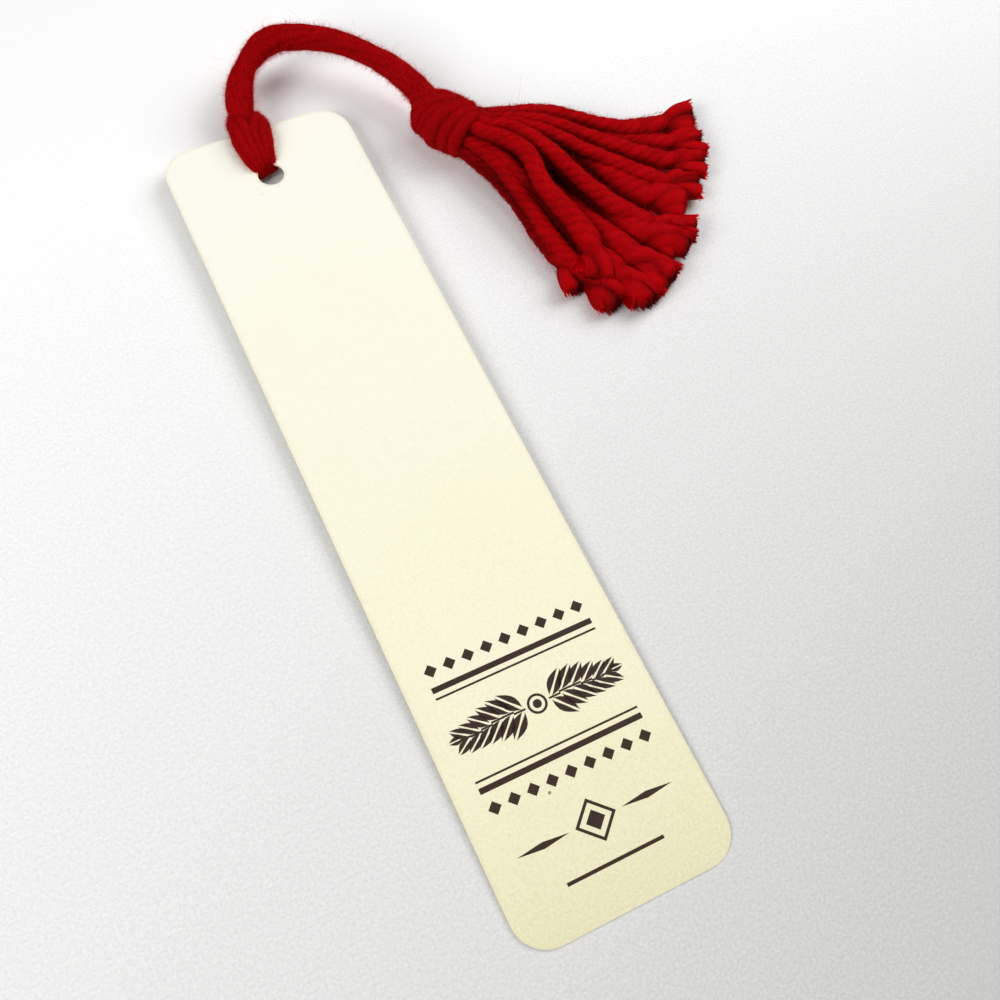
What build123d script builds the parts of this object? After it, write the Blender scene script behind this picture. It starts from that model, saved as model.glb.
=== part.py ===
"""Card bookmark with a yarn tassel, as it lies on a table.

A punched card carries a bundle of yarn that is hitched through its hole. The bundle runs on
as a cord, is tied in an overhand knot, and ends in a loose tassel of twelve strands.
Millimetres. The table is z = 0, +Y runs along the card towards its hole, +X towards the tassel.
"""

import math
import os

from build123d import *

# Card
CARD_WIDTH = 38.0
CARD_LENGTH = 162.0
CARD_THICKNESS = 0.4
CARD_CORNER_RADIUS = 6.0
HOLE_DIAMETER = 5.1
HOLE_FROM_TOP_EDGE = 11.6

# Clearances of the yarn
YARN_TO_CARD = 0.2
HOLE_CLEARANCE = 0.15
EDGE_CLEARANCE = 0.9
TURNING_GAP = 0.2
SOCKET_CLEARANCE = 0.3
STRAND_GAP = 0.3

# Hitch: a loop over the front of the card, and the tails that run up behind it
LOOP_DIAMETER = 2.3
LOOP_FOOT_SPREAD = 2.5
LOOP_SHOULDER_SPREAD = 4.8
LOOP_KNEE_SHARE = 0.36
LOOP_SHOULDER_SHARE = 0.9
LOOP_CREST_DROP = 0.05
LOOP_BRIDGE_RUN = 2.6
LOOP_BRIDGE_DROP = 2.6
HOLE_FILL_BELOW_CENTRE = 0.2
TAILS_WIDTH = 5.0
TAILS_THICKNESS = 2.8
TAILS_EDGE_RADIUS = 1.2
RISER_DIAMETER = 4.4
STUB_DIAMETER = 5.2
STUB_LENGTH = 2.3
STUB_HEIGHT = 2.5

# Cord
CORD_DIAMETER = 5.6
CORD_FIRST_RUN = 4.8

# Knot
KNOT_LENGTH = 13.5
KNOT_BEARING = -64.0
KNOT_ENTRY_RADIUS = 4.2
KNOT_WAIST_RADIUS = 5.2
KNOT_MOUTH_RADIUS = 4.4
KNOT_APEX_SHARE = 0.5
WRAP_OUTER_RADIUS = 5.9
WRAP_TILT = 28.0
WRAP_FIRST_SHARE = 0.31
WRAP_PITCH_SHARE = 0.24
WRAP_COUNT = 3
WRAP_FILL = 0.95

# Neck of the tassel, where the strands leave the knot
NECK_REACH = 12.0
NECK_WIDTH = 17.0
NECK_HEIGHT = 9.8
NECK_FLOOR_GAP = 0.25
NECK_START_SHARE = 0.25
NECK_START_ASPECT = 1.15

# Tassel
STRAND_DIAMETER = 3.2

# Share of the shorter run that the arc at each turn of a tube takes
ARC_SHARE = 0.45

# Route of the cord after its first run: x and y from the hitch's exit, z above the table
CORD_ROUTE = [
    (4.4, 11.6, 8.2),
    (13.4, 12.6, 9.2),
    (23.4, 6.8, 9.1),
    (30.4, -2.4, 7.8),
    (34.8, -11.0, 6.0),
]

# Route of each strand: its reach from the apex of the fan, the layer it leaves the neck in,
# and its bearing from +X at each of five points from the neck to its end
STRAND_ROUTES = [
    (50.5, 0, (-19.0, -17.0, -19.5, -21.5, -19.5)),
    (52.5, 1, (-25.1, -23.0, -26.0, -28.5, -27.0)),
    (52.5, 2, (-31.2, -29.5, -33.0, -36.0, -35.5)),
    (49.5, 0, (-37.3, -36.0, -40.0, -43.5, -43.5)),
    (54.0, 1, (-43.4, -42.5, -46.5, -50.5, -50.0)),
    (55.5, 2, (-49.5, -48.5, -52.5, -56.5, -56.5)),
    (56.5, 0, (-55.6, -54.5, -58.5, -62.0, -62.5)),
    (58.0, 1, (-61.7, -60.5, -64.0, -67.5, -68.0)),
    (56.0, 2, (-67.8, -66.5, -69.5, -73.0, -73.5)),
    (53.5, 0, (-73.9, -72.0, -75.0, -78.5, -79.0)),
    (47.5, 1, (-80.0, -78.0, -80.5, -83.5, -84.5)),
    (45.0, 2, (-86.1, -83.5, -86.0, -88.5, -90.0)),
]
# Where along its reach the five points of a strand lie, and the height of each layer there
STRAND_STATION_SHARES = (0.0, 0.22, 0.48, 0.75, 1.0)
STRAND_LAYER_HEIGHTS = [
    (1.65, 1.75, 1.65, 1.75, 1.65),
    (5.0, 4.9, 4.3, 2.9, 1.8),
    (8.35, 8.0, 6.8, 4.9, 3.2),
]

# The tails under the hole end prop the card up by a small tilt
TILT = math.asin((TAILS_THICKNESS + YARN_TO_CARD) / (CARD_LENGTH - HOLE_FROM_TOP_EDGE))
CARD_FRAME = Plane(
    origin=(0, -CARD_LENGTH / 2 * math.cos(TILT), 0),
    x_dir=(1, 0, 0),
    z_dir=(0, -math.sin(TILT), math.cos(TILT)),
)
HITCH_FRAME = Plane(
    CARD_FRAME.location * Pos(0, CARD_LENGTH - HOLE_FROM_TOP_EDGE, CARD_THICKNESS / 2)
)
LOOP_HEIGHT = CARD_THICKNESS / 2 + YARN_TO_CARD + LOOP_DIAMETER / 2
TAILS_DEPTH = CARD_THICKNESS / 2 + YARN_TO_CARD + TAILS_THICKNESS / 2
RISER_PLACE = HOLE_FROM_TOP_EDGE + EDGE_CLEARANCE + RISER_DIAMETER / 2
HITCH_EXIT = Plane(
    HITCH_FRAME.location * Pos(0, RISER_PLACE + STUB_LENGTH + TURNING_GAP, STUB_HEIGHT)
)


def tube(name, points, section):
    """A section swept along straight runs joined by tangent arcs, and the path's end frame."""
    points = [Vector(*p) for p in points]
    radii = []
    for before, here, after in zip(points, points[1:], points[2:]):
        turn = math.radians((here - before).get_angle(after - here))
        shorter = min((here - before).length, (after - here).length)
        radii.append(ARC_SHARE * shorter / math.tan(turn / 2))
    path = FilletPolyline(*points, radius=radii)
    solid = sweep(Plane(origin=path @ 0, z_dir=path % 0) * section, path=path)
    share = solid.volume / (section.area * path.length)
    print(f"{name}: length {path.length:.1f}, least radius {min(radii):.1f}, volume share {share:.4f}")
    print("   radii", " ".join(f"{r:.1f}" for r in radii))
    return solid, Plane(origin=path @ 1, z_dir=path % 1)


def make_card():
    """The card with its round corners and its punched hole."""
    outline = Pos(0, CARD_LENGTH / 2) * RectangleRounded(CARD_WIDTH, CARD_LENGTH, CARD_CORNER_RADIUS)
    hole = Pos(0, CARD_LENGTH - HOLE_FROM_TOP_EDGE) * Circle(HOLE_DIAMETER / 2)
    return CARD_FRAME * extrude(outline - hole, CARD_THICKNESS)


def make_hitch_loop():
    """The doubled end of the bundle, lying over the front of the card and round behind the cord."""
    foot, shoulder = LOOP_FOOT_SPREAD / 2, LOOP_SHOULDER_SPREAD / 2
    knee = (foot + shoulder) / 2
    crest = HOLE_FROM_TOP_EDGE + EDGE_CLEARANCE
    right_leg = [
        (foot, -HOLE_FILL_BELOW_CENTRE, LOOP_HEIGHT),
        (knee, LOOP_KNEE_SHARE * HOLE_FROM_TOP_EDGE, LOOP_HEIGHT),
        (shoulder, LOOP_SHOULDER_SHARE * HOLE_FROM_TOP_EDGE, LOOP_HEIGHT),
        (shoulder, crest, LOOP_HEIGHT - LOOP_CREST_DROP),
        (shoulder, crest + LOOP_BRIDGE_RUN, LOOP_HEIGHT - LOOP_BRIDGE_DROP),
    ]
    left_leg = [(-x, y, z) for x, y, z in reversed(right_leg)]
    return tube("hitch loop", right_leg + left_leg, Circle(LOOP_DIAMETER / 2))[0]


def make_hitch():
    """The whole hitch: loop, fill of the hole, tails behind the card and the stub of the cord."""
    fill_radius = HOLE_DIAMETER / 2 - HOLE_CLEARANCE
    fill_outline = Circle(fill_radius) & Pos(0, fill_radius - HOLE_FILL_BELOW_CENTRE) * Rectangle(
        HOLE_DIAMETER, 2 * fill_radius
    )
    hole_fill = Pos(0, 0, -TAILS_DEPTH) * extrude(fill_outline, TAILS_DEPTH + LOOP_HEIGHT)
    tails_section = Plane.XZ * RectangleRounded(TAILS_WIDTH, TAILS_THICKNESS, TAILS_EDGE_RADIUS)
    tails = Pos(0, -HOLE_FILL_BELOW_CENTRE, -TAILS_DEPTH) * extrude(
        tails_section, RISER_PLACE + HOLE_FILL_BELOW_CENTRE, dir=(0, 1, 0)
    )
    riser = Pos(0, RISER_PLACE, -TAILS_DEPTH) * extrude(
        Circle(RISER_DIAMETER / 2), TAILS_DEPTH + STUB_HEIGHT
    )
    stub_start = RISER_PLACE - RISER_DIAMETER / 2
    stub = Pos(0, stub_start, STUB_HEIGHT) * extrude(
        Plane.XZ * Circle(STUB_DIAMETER / 2), RISER_DIAMETER / 2 + STUB_LENGTH, dir=(0, 1, 0)
    )
    return HITCH_FRAME * (tails + riser + stub + hole_fill + make_hitch_loop())


def make_cord():
    """The free bundle from the hitch to the knot, with a round end that sits in the knot."""
    exit_point = HITCH_EXIT.origin
    route = [exit_point, exit_point + HITCH_EXIT.y_dir * CORD_FIRST_RUN]
    route += [Vector(exit_point.X + x, exit_point.Y + y, z) for x, y, z in CORD_ROUTE]
    solid, end = tube("cord", route, Circle(CORD_DIAMETER / 2))
    return solid + end * Sphere(CORD_DIAMETER / 2, arc_size1=0)


def knot_frame():
    """The knot's frame: its origin is the centre of the cord's end, and z runs along the knot."""
    x, y, z = CORD_ROUTE[-1]
    angle = math.radians(KNOT_BEARING)
    origin = (HITCH_EXIT.origin.X + x, HITCH_EXIT.origin.Y + y, z)
    return Plane(origin=origin, x_dir=(0, 0, 1), z_dir=(math.cos(angle), math.sin(angle), 0))


def fan_apex():
    """The point inside the knot that the strands fan out from."""
    return (knot_frame().location * Pos(0, 0, KNOT_APEX_SHARE * KNOT_LENGTH)).position


def make_neck():
    """The strands close together where they leave the knot, ended round about the fan's apex."""
    apex = fan_apex()
    middle = math.radians((STRAND_ROUTES[0][2][0] + STRAND_ROUTES[-1][2][0]) / 2)
    along = Vector(math.cos(middle), math.sin(middle), 0)
    across = Vector(-along.Y, along.X, 0)
    start_centre = apex + along * NECK_START_SHARE * NECK_REACH
    end_centre = Vector(apex.X, apex.Y, NECK_FLOOR_GAP + NECK_HEIGHT / 2) + along * NECK_REACH
    start_height = 2 * KNOT_MOUTH_RADIUS
    start = Plane(origin=start_centre, x_dir=across, z_dir=along) * SlotOverall(
        NECK_START_ASPECT * start_height, start_height
    )
    end = Plane(origin=end_centre, x_dir=across, z_dir=along) * SlotOverall(NECK_WIDTH, NECK_HEIGHT)
    flare = loft([start, end])
    round_end = Pos(apex.X, apex.Y, 0) * extrude(Circle(NECK_REACH), NECK_HEIGHT + WRAP_OUTER_RADIUS)
    return flare & round_end


def make_knot():
    """The overhand knot: a barrel with slanting wraps, a socket for the cord, and the neck."""
    side = ThreePointArc(
        (KNOT_ENTRY_RADIUS, 0), (KNOT_WAIST_RADIUS, KNOT_LENGTH / 2), (KNOT_MOUTH_RADIUS, KNOT_LENGTH)
    )
    rim = Polyline((KNOT_MOUTH_RADIUS, KNOT_LENGTH), (0, KNOT_LENGTH), (0, 0), (KNOT_ENTRY_RADIUS, 0))
    lump = revolve(Plane.XZ * make_face([side, rim]), Axis.Z)
    wrap_pitch = WRAP_PITCH_SHARE * KNOT_LENGTH
    wrap_diameter = WRAP_FILL * wrap_pitch * math.cos(math.radians(WRAP_TILT))
    wrap = Rot(WRAP_TILT, 0, 0) * Torus(WRAP_OUTER_RADIUS - wrap_diameter / 2, wrap_diameter / 2)
    for number in range(WRAP_COUNT):
        lump += Pos(0, 0, WRAP_FIRST_SHARE * KNOT_LENGTH + number * wrap_pitch) * wrap
    socket = Sphere(CORD_DIAMETER / 2 + SOCKET_CLEARANCE)
    return knot_frame() * (lump - socket) + make_neck()


def make_strand(name, reach, layer, bearings):
    """One end of yarn of the tassel, from the neck to its cut end."""
    apex = fan_apex()
    root = NECK_REACH + STRAND_GAP
    route = []
    for share, bearing, height in zip(STRAND_STATION_SHARES, bearings, STRAND_LAYER_HEIGHTS[layer]):
        distance = root + share * (reach - root)
        angle = math.radians(bearing)
        route.append((apex.X + distance * math.cos(angle), apex.Y + distance * math.sin(angle), height))
    return tube(name, route, Circle(STRAND_DIAMETER / 2))[0]


def main():
    """Build every piece and write one STEP file for each."""
    pieces = {
        "card": make_card(),
        "hitch": make_hitch(),
        "cord": make_cord(),
        "knot": make_knot(),
    }
    for number, route in enumerate(STRAND_ROUTES, start=1):
        name = f"tassel_strand_{number:02d}"
        pieces[name] = make_strand(name, *route)
    os.makedirs("parts", exist_ok=True)
    for name, piece in pieces.items():
        export_step(piece, f"parts/{name}.step")
    exit_point, apex = HITCH_EXIT.origin, fan_apex()
    print("hole centre", HITCH_FRAME.origin, "card normal", HITCH_FRAME.z_dir)
    print("hitch exit", exit_point, "along", HITCH_EXIT.y_dir)
    print("cord end", knot_frame().origin, "fan apex", apex)


if __name__ == "__main__":
    main()
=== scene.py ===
"""Looks of the tasselled card bookmark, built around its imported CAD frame.

The card keeps its CAD shape and gets its paper and its printed ornament. The yarn is laid up
from plies: the hitch through the card's hole, the free cord, the overhand knot and the twelve
loose strands of the tassel, each with its fuzz and its cut, opened end.
"""

import math
import random

import bmesh
import bpy
from bpy.props import FloatProperty, FloatVectorProperty, IntProperty, PointerProperty
from mathutils import Matrix, Quaternion, Vector
from mathutils.kdtree import KDTree


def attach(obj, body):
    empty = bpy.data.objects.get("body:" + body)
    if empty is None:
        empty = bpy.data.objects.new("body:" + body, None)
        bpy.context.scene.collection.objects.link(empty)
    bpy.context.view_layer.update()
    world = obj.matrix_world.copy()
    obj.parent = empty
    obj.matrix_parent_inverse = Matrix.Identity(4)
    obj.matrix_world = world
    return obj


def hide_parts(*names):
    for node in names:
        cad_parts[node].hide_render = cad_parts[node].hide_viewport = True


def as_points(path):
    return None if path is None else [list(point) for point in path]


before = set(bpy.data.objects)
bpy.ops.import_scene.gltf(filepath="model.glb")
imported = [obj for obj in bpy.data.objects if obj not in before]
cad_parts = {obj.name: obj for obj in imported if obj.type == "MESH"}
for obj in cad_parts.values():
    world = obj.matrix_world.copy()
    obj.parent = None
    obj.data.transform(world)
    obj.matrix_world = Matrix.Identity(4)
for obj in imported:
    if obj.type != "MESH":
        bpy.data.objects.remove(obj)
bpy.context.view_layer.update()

bl_info = {
    "name": "Tasselled card bookmark",
    "version": (1, 0, 0),
    "blender": (4, 5, 0),
    "location": "3D View > Sidebar > Bookmark",
    "description": "Builds a punched card bookmark with a red yarn tassel around its CAD frame",
    "category": "Object",
}

MM = 0.001
TURN = 2 * math.pi

# The card as part.py lays it: its foot on the table, its hole end propped up by the yarn
CARD_WIDTH, CARD_LENGTH, CARD_THICKNESS = 38.0 * MM, 162.0 * MM, 0.4 * MM
CARD_CORNER = 6.0 * MM
HOLE_RADIUS = 2.55 * MM
HOLE_FROM_TOP = 11.6 * MM
CARD_LIFT = 3.0 * MM
CARD_TILT = math.asin(CARD_LIFT / (CARD_LENGTH - HOLE_FROM_TOP))

# The hitch: half of its loops' yarns on the card, as across, along from the hole, above the card
LOOP_YARN = 1.3 * MM
LOOP_ROUTES = [
    [(0.5, 2.0, -1.6), (0.5, 2.3, 0.5), (0.6, 4.2, 1.6), (0.65, 8.0, 2.0), (0.7, 10.8, 2.2),
     (1.6, 12.6, 2.1), (1.9, 14.2, 1.0), (1.2, 15.6, -0.2), (0.0, 16.0, -0.5)],
    [(1.1, 2.0, -1.6), (1.2, 2.3, 0.4), (1.6, 4.2, 1.5), (1.95, 8.0, 1.9), (2.2, 10.6, 1.9),
     (2.5, 12.6, 1.5), (2.2, 14.8, 0.1), (1.4, 16.1, -1.0), (0.0, 16.5, -1.2)],
    [(1.6, 2.0, -1.6), (1.75, 2.4, 0.2), (2.2, 4.2, 1.1), (2.75, 8.0, 1.3), (2.9, 10.8, 1.1),
     (2.9, 12.8, 0.5), (2.3, 15.2, -0.8), (1.4, 16.6, -1.7), (0.0, 16.9, -1.9)],
    [(0.8, 2.2, -1.6), (0.9, 2.5, 0.1), (1.1, 4.7, 1.05), (1.35, 8.0, 1.1), (1.8, 10.6, 1.1),
     (2.6, 12.6, 0.8), (2.2, 14.4, -0.4), (1.2, 15.3, -1.2), (0.0, 15.6, -1.4)],
]
# The hitch leans across the card, bulges to the left, and its left shoulder lies further up
LOOP_SHIFT, LOOP_LEAN, LOOP_SKEW, LOOP_BULGE = -0.3, 0.05, 0.3, 0.6
# The tails: one yarn's way from the hole, behind the card, over its top edge to the cord
TAIL_YARN = 0.75 * MM
TAIL_ROUTE = [(0.9, 2.6, -0.6), (0.95, 3.0, -0.9), (1.0, 4.4, -1.0), (1.0, 8.0, -1.0), (1.0, 12.2, -1.0),
              (0.9, 13.4, 0.3), (0.7, 14.2, 1.9), (0.6, 16.0, 2.6), (0.55, 18.4, 2.7)]
# Each tail: how many times as far across as that way, and how far above it
TAIL_PLACES = [(-2.0, 0.0), (-1.0, 0.0), (0.0, 0.0), (1.0, 0.0), (2.0, 0.0),
               (-1.2, -1.15), (0.0, -1.2), (1.2, -1.15)]

# The cord from the hitch to the knot, in millimetres in the part's frame
CORD_ROUTE = [(-0.4, 81.4, 4.1), (-0.3, 84.0, 5.4), (0.6, 87.6, 6.4), (2.6, 91.3, 7.3), (6.2, 94.7, 8.2),
              (9.8, 96.3, 9.1), (13.8, 96.3, 9.5), (19.9, 93.7, 9.4), (25.3, 89.9, 8.9), (30.5, 84.1, 7.8),
              (33.6, 77.9, 6.7), (34.5, 74.5, 6.2), (35.3, 71.6, 6.0)]

# The knot: where it stands, the axis it lies along, and its wraps
KNOT_ORIGIN = (34.8, 75.529, 6.0)
KNOT_BEARING = -64.0
# Each wrap: place along the knot, radius, lean along the knot per radius across it, yarn radius
KNOT_WRAPS = [
    (5.0, 2.8, 0.55, 1.4), (6.6, 3.8, 0.55, 1.7), (8.6, 4.2, 0.6, 1.4), (10.2, 4.3, 0.42, 1.9),
    (12.3, 4.2, 0.2, 1.5), (13.8, 3.8, 0.0, 1.5),
]
# The cord's yarns over the knot's shoulder: across, above and along it
KNOT_PASSES = [
    [(-3.2, 2.2, 3.4), (-2.0, 4.0, 5.0), (0.2, 4.7, 7.2), (2.4, 4.1, 9.4), (3.9, 2.4, 11.2),
     (4.4, 0.0, 12.4)],
    [(-1.9, 2.0, 1.6), (-0.8, 3.6, 3.6), (1.2, 4.1, 5.8), (3.1, 3.1, 8.0), (4.2, 1.2, 9.8),
     (4.4, -1.2, 11.0)],
]
PASS_YARN = 1.35
# How far to its side the whole knot lies
KNOT_SIDE = -2.55 * MM
# The knot's core: places along it, and its radius there
KNOT_CORE = [(2.4, 0.0), (2.6, 2.2), (5.0, 3.8), (8.4, 4.9), (11.2, 4.7), (13.4, 3.9), (14.6, 2.6),
             (14.8, 0.0)]

# The twelve strands of the tassel, from right to left, in millimetres in the part's frame
STRAND_ROUTES = [
    [(39.5, 67.8, 6.0), (43.6, 65.3, 6.2), (47.4, 63.8, 6.4), (52.0, 62.7, 6.2), (56.9, 61.0, 5.6),
     (61.3, 58.3, 4.8), (65.7, 55.3, 4.0), (69.7, 53.0, 3.2), (74.8, 52.0, 2.8), (80.4, 51.8, 2.5),
     (85.4, 50.5, 2.4)],
    [(39.1, 67.6, 6.4), (42.9, 64.0, 5.2), (47.2, 62.3, 4.6), (52.2, 60.9, 4.0), (56.9, 58.7, 3.2),
     (61.4, 56.1, 2.6), (65.7, 53.1, 2.4), (70.1, 50.2, 2.2), (74.9, 48.1, 2.1), (80.0, 46.4, 2.2),
     (84.8, 44.5, 2.4)],
    [(38.7, 67.4, 7.6), (42.5, 62.4, 8.0), (47.0, 60.7, 8.2), (52.0, 58.5, 7.8), (56.3, 55.9, 7.0),
     (60.0, 53.1, 6.0), (63.8, 50.0, 5.0), (68.0, 46.7, 4.0), (72.3, 43.7, 3.2), (77.1, 41.5, 2.6),
     (81.7, 39.5, 2.4)],
    [(38.3, 67.2, 7.6), (41.9, 61.2, 8.2), (46.7, 59.3, 8.6), (50.8, 56.4, 8.2), (54.4, 53.2, 7.4),
     (57.7, 49.7, 6.4), (61.2, 46.5, 5.4), (64.7, 43.0, 4.4), (68.7, 39.5, 3.4), (73.3, 36.7, 2.6),
     (77.7, 34.9, 2.4)],
    [(37.9, 67.0, 5.0), (42.6, 62.1, 5.0), (47.3, 59.9, 5.0), (52.7, 54.5, 4.4), (56.9, 49.3, 3.8),
     (60.9, 44.7, 3.2), (63.6, 39.2, 2.8), (67.2, 35.0, 2.9), (72.5, 31.8, 3.0)],
    [(37.5, 66.8, 7.6), (41.4, 60.8, 8.6), (45.4, 58.9, 9.0), (47.9, 55.6, 9.2), (50.6, 50.3, 8.6),
     (52.4, 45.9, 7.8), (54.0, 42.0, 7.0), (56.2, 37.4, 6.0), (58.4, 34.0, 5.0), (61.5, 30.7, 3.9),
     (65.7, 27.4, 3.0), (70.7, 24.6, 2.5)],
    [(37.1, 66.6, 4.4), (41.3, 61.1, 4.0), (44.9, 57.0, 3.8), (50.4, 51.2, 3.2), (53.6, 42.6, 2.7),
     (56.8, 35.7, 2.7), (61.0, 28.3, 3.0), (67.2, 21.5, 3.1)],
    [(36.7, 66.5, 4.4), (40.7, 61.2, 3.6), (43.6, 56.6, 3.4), (47.6, 48.9, 3.0), (50.9, 40.0, 2.6),
     (53.9, 30.7, 2.7), (57.1, 22.3, 3.0), (60.2, 16.2, 3.1)],
    [(36.3, 66.3, 7.6), (40.6, 59.3, 8.4), (43.4, 55.7, 9.2), (45.7, 52.1, 9.4), (46.3, 48.5, 9.2),
     (45.5, 45.2, 8.8), (45.8, 41.7, 8.2), (47.0, 37.9, 7.4), (48.2, 34.5, 6.6), (49.0, 31.2, 5.8),
     (48.9, 27.5, 5.0), (47.8, 24.2, 4.2), (45.8, 21.4, 3.6)],
    [(35.9, 66.1, 5.4), (38.9, 59.0, 6.3), (41.8, 53.8, 6.8), (44.0, 45.7, 5.8), (46.5, 38.0, 4.4),
     (49.3, 29.9, 2.8), (52.3, 21.3, 2.7), (54.6, 13.6, 2.8)],
    [(35.5, 65.9, 6.4), (38.5, 58.3, 6.4), (40.1, 54.4, 6.6), (41.5, 49.6, 6.2), (42.2, 43.9, 5.4),
     (42.8, 38.8, 4.6), (43.3, 32.7, 3.8), (45.4, 25.0, 2.8), (48.6, 16.0, 2.4)],
    [(35.0, 65.7, 4.6), (37.0, 58.9, 4.6), (38.5, 55.2, 4.4), (40.1, 51.8, 4.0), (41.2, 47.2, 3.5),
     (42.2, 42.4, 3.0), (42.4, 36.1, 2.6), (43.9, 29.4, 2.4), (44.4, 22.2, 2.4)],
]
# How stout each strand is beside the others
STRAND_STOUTNESS = [1.1, 1.0, 1.08, 1.08, 1.45, 1.15, 1.5, 1.5, 1.28, 1.35, 1.15, 1.2]


# Settings that a user would change
class BookmarkCardSettings(bpy.types.PropertyGroup):
    """Paper and print of the card."""

    paper: FloatVectorProperty(
        name="Paper", description="Colour of the paper at the hole end", subtype="COLOR",
        default=(0.965, 0.962, 0.86), min=0, max=1,
    )
    # Painted shade towards the foot, and the tone of the random blotches
    toned_and_shaded_paper: FloatVectorProperty(
        name="Toned paper", description="Colour of the paper towards the foot", subtype="COLOR",
        default=(0.955, 0.90, 0.62), min=0, max=1,
    )
    # Painted shade at the card's very foot
    shaded_foot_paper: FloatVectorProperty(
        name="Foot", description="Colour of the paper at its very foot", subtype="COLOR",
        default=(0.80, 0.765, 0.50), min=0, max=1,
    )
    edge_tone: FloatVectorProperty(
        name="Edge tone", description="Colour of the paper along its cut edges", subtype="COLOR",
        default=(0.80, 0.72, 0.50), min=0, max=1,
    )
    fleck: FloatVectorProperty(
        name="Fleck", description="Colour of the specks in the paper", subtype="COLOR",
        default=(0.22, 0.14, 0.07), min=0, max=1,
    )
    ink: FloatVectorProperty(
        name="Ink", description="Colour of the printed ornament", subtype="COLOR",
        default=(0.034, 0.015, 0.008), min=0, max=1,
    )
    ink_height: FloatProperty(
        name="Ink height", description="How far the ink stands on the paper", unit="LENGTH",
        default=0.02 * MM, min=0.005 * MM, max=0.1 * MM, precision=6,
    )


class BookmarkYarnSettings(bpy.types.PropertyGroup):
    """Yarn of the hitch, cord, knot and tassel."""

    bright: FloatVectorProperty(
        name="Bright red", description="Colour of the yarn where it stands proud", subtype="COLOR",
        default=(0.44, 0.001, 0.0031), min=0, max=1,
    )
    # Painted shade between the plies and under other strands, and the tone of the fibre streaks
    shade_and_streak_red: FloatVectorProperty(
        name="Deep red", description="Colour of the yarn between its plies", subtype="COLOR",
        default=(0.062, 0.0002, 0.0006), min=0, max=1,
    )
    fluff: FloatVectorProperty(
        name="Fluff", description="Colour of the fibres that stand off", subtype="COLOR",
        default=(0.98, 0.07, 0.1), min=0, max=1,
    )
    strand_radius: FloatProperty(
        name="Strand radius", description="Radius of a loose strand of the tassel", unit="LENGTH",
        default=2.0 * MM, min=1 * MM, max=4 * MM, precision=5,
    )
    cord_radius: FloatProperty(
        name="Cord radius", description="Radius of the free bundle", unit="LENGTH",
        default=2.8 * MM, min=1.5 * MM, max=5 * MM, precision=5,
    )
    plies: IntProperty(name="Plies", description="Plies laid up in one yarn", default=4, min=2, max=6)
    lay: FloatProperty(
        name="Lay", description="Length in which a ply goes once round its yarn", unit="LENGTH",
        default=8.6 * MM, min=4 * MM, max=40 * MM, precision=5,
    )


class BookmarkStageSettings(bpy.types.PropertyGroup):
    """Floor, lamps and camera."""

    # The floor's two colours paint the falloff of the light across it
    floor_light: FloatVectorProperty(
        name="Floor, lit side", description="Colour of the floor behind the hitch", subtype="COLOR",
        default=(0.98, 0.98, 0.98), min=0, max=1,
    )
    floor_shade: FloatVectorProperty(
        name="Floor, far side", description="Colour of the floor beyond the card's foot", subtype="COLOR",
        default=(0.58, 0.58, 0.571), min=0, max=1,
    )
    overhead_power: FloatProperty(
        name="Overhead lamp", description="Power of the lamp overhead", unit="POWER", default=0.49,
    )
    right_power: FloatProperty(
        name="Right lamp", description="Power of the soft lamp on the tassel's side", unit="POWER",
        default=5.22,
    )
    left_power: FloatProperty(
        name="Left lamp", description="Power of the soft lamp on the other side", unit="POWER", default=4.52,
    )
    fill_level: FloatProperty(name="Fill", description="Level of the light from all round", default=0.12)
    lens: FloatProperty(name="Lens", description="Focal length", unit="CAMERA", default=42.775)


# Shader building
class Value:
    """A socket of a shader; arithmetic on it adds Math nodes."""

    def __init__(self, shader, socket):
        self.shader, self.socket = shader, socket

    def math(self, operation, first, second=0.0):
        return self.shader.node("ShaderNodeMath", {"operation": operation}, {0: first, 1: second})

    def __add__(self, other):
        return self.math("ADD", self, other)

    def __sub__(self, other):
        return self.math("SUBTRACT", self, other)

    def __rsub__(self, other):
        return self.math("SUBTRACT", other, self)

    def __mul__(self, other):
        return self.math("MULTIPLY", self, other)

    def __truediv__(self, other):
        return self.math("DIVIDE", self, other)

    def __abs__(self):
        return self.math("ABSOLUTE", self)

    def above(self, other):
        return self.math("MAXIMUM", self, other)

    def below(self, other):
        return self.math("MINIMUM", self, other)

    def share(self):
        return self.above(0.0).below(1.0)

    def ramp(self, start, width):
        """From 0 at a start, evenly, to 1 at a width past it."""
        return ((self - start) / width).share()

    def root(self):
        return self.math("SQRT", self)

    __radd__ = __add__


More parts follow.
